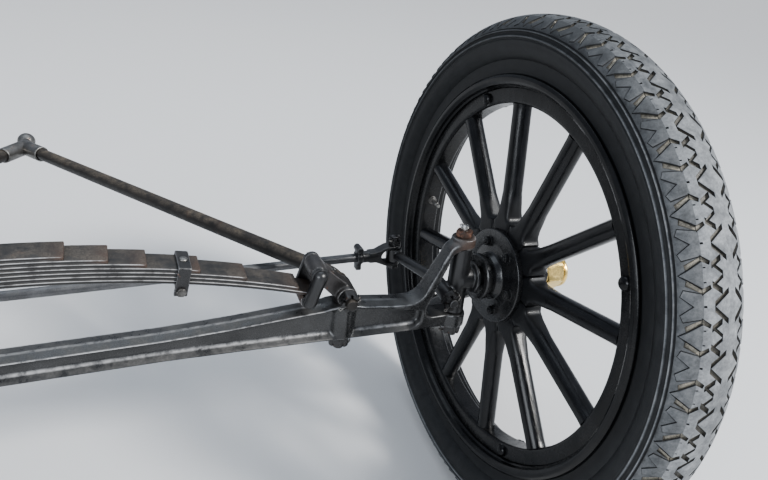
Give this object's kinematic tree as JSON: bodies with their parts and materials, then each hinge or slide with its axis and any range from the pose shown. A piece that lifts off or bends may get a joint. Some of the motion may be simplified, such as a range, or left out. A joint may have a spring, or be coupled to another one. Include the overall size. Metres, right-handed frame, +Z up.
{
  "type": "antique car front axle assembly",
  "caption": "Beam front axle of an antique car with cross leaf spring, wishbone radius rods, steering knuckles, tie rod and wooden-spoked wheels that steer and roll.",
  "frame": {"origin": "centre of the spring pack's top face, where the centre bolt's head stands and the car's frame sits", "axes": "+Z up, +X along the axle to the car's left, -Y the way the car faces"},
  "size_m": [1.6146, 1.1478, 0.7608],
  "materials": {
    "black_steel": "worn satin black paint with dust and light rust",
    "black_enamel": "gloss black enamel",
    "spring_steel": "black paint worn to steel on the edges, rust at the leaf ends",
    "bare_steel": "bright to rusty steel",
    "black_wood": "gloss black painted wood",
    "tyre_rubber": "black rubber with a dusty grey tread",
    "brass": "polished brass"
  },
  "bodies": {
    "axle": {"axle_beam": "black_steel", "axle_nuts_left": "black_steel", "axle_nuts_right": "black_steel", "king_bolt_left": "bare_steel", "king_bolt_right": "bare_steel", "radius_rod_ball": "bare_steel", "radius_rod_left": "black_steel", "radius_rod_right": "black_steel", "shackle_left": "black_enamel", "shackle_right": "black_enamel", "spring_centre_bolt": "bare_steel", "spring_clip_left": "black_steel", "spring_clip_right": "black_steel", "spring_leaf_2": "spring_steel", "spring_leaf_3": "spring_steel", "spring_leaf_4": "spring_steel", "spring_leaf_5": "spring_steel", "spring_leaf_6": "spring_steel", "spring_leaf_7": "spring_steel", "spring_main_leaf": "spring_steel", "spring_perch_left": "black_steel", "spring_perch_right": "black_steel"},
    "wheel_left": {"felloe_left": "black_wood", "hub_cap_left": "brass", "hub_left": "black_enamel", "hub_plate_left": "black_enamel", "rim_left": "black_enamel", "spokes_left": "black_wood", "tyre_left": "tyre_rubber"},
    "wheel_right": {"felloe_right": "black_wood", "hub_cap_right": "brass", "hub_plate_right": "black_enamel", "hub_right": "black_enamel", "rim_right": "black_enamel", "spokes_right": "black_wood", "tyre_right": "tyre_rubber"},
    "steering_left": {"knuckle_left": "black_enamel", "steering_arm_left": "black_enamel", "steering_arm_nut_left": "black_enamel"},
    "steering_right": {"knuckle_right": "black_enamel", "steering_arm_nut_right": "black_enamel", "steering_arm_right": "black_enamel"},
    "track_rod": {"tie_rod": "black_enamel", "tie_rod_nut_left": "black_enamel", "tie_rod_pin_left": "black_enamel", "tie_rod_yoke_left": "black_enamel"},
    "track_rod_end": {"tie_rod_nut_right": "black_enamel", "tie_rod_pin_right": "black_enamel", "tie_rod_yoke_right": "black_enamel"}
  },
  "joints": [
    {"name": "steer_left", "type": "hinge", "parent": "axle", "child": "steering_left", "pos_m": [0.621, 0, -0.1137], "axis": [0, 0.0958, 0.9954], "range_deg": [-30, 30]},
    {"name": "wheel_spin_left", "type": "hinge", "parent": "steering_left", "child": "wheel_left", "pos_m": [0.711, 0, -0.1192], "axis": [0.9981, 0, -0.061], "continuous": true},
    {"name": "steer_right", "type": "hinge", "parent": "axle", "child": "steering_right", "pos_m": [-0.621, 0, -0.1137], "axis": [0, 0.0958, 0.9954], "range_deg": [-30, 30]},
    {"name": "wheel_spin_right", "type": "hinge", "parent": "steering_right", "child": "wheel_right", "pos_m": [-0.711, 0, -0.1192], "axis": [0.9981, 0, 0.061], "continuous": true},
    {"name": "track_rod_pivot", "type": "hinge", "parent": "steering_left", "child": "track_rod", "pos_m": [0.584, 0.148, -0.1592], "axis": [0, 0.0958, 0.9954], "range_deg": [-31.82, 31.82]},
    {"name": "track_rod_end_pivot", "type": "hinge", "parent": "steering_right", "child": "track_rod_end", "pos_m": [-0.584, 0.148, -0.1592], "axis": [0, 0.0958, 0.9954], "range_deg": [-31.82, 31.82]}
  ],
  "couplings": [
    {"joint": "steer_right", "follows": "steer_left", "ratio": 1},
    {"joint": "track_rod_pivot", "follows": "steer_left", "ratio": -1.0608},
    {"joint": "track_rod_end_pivot", "follows": "steer_left", "ratio": -1.0608}
  ]
}
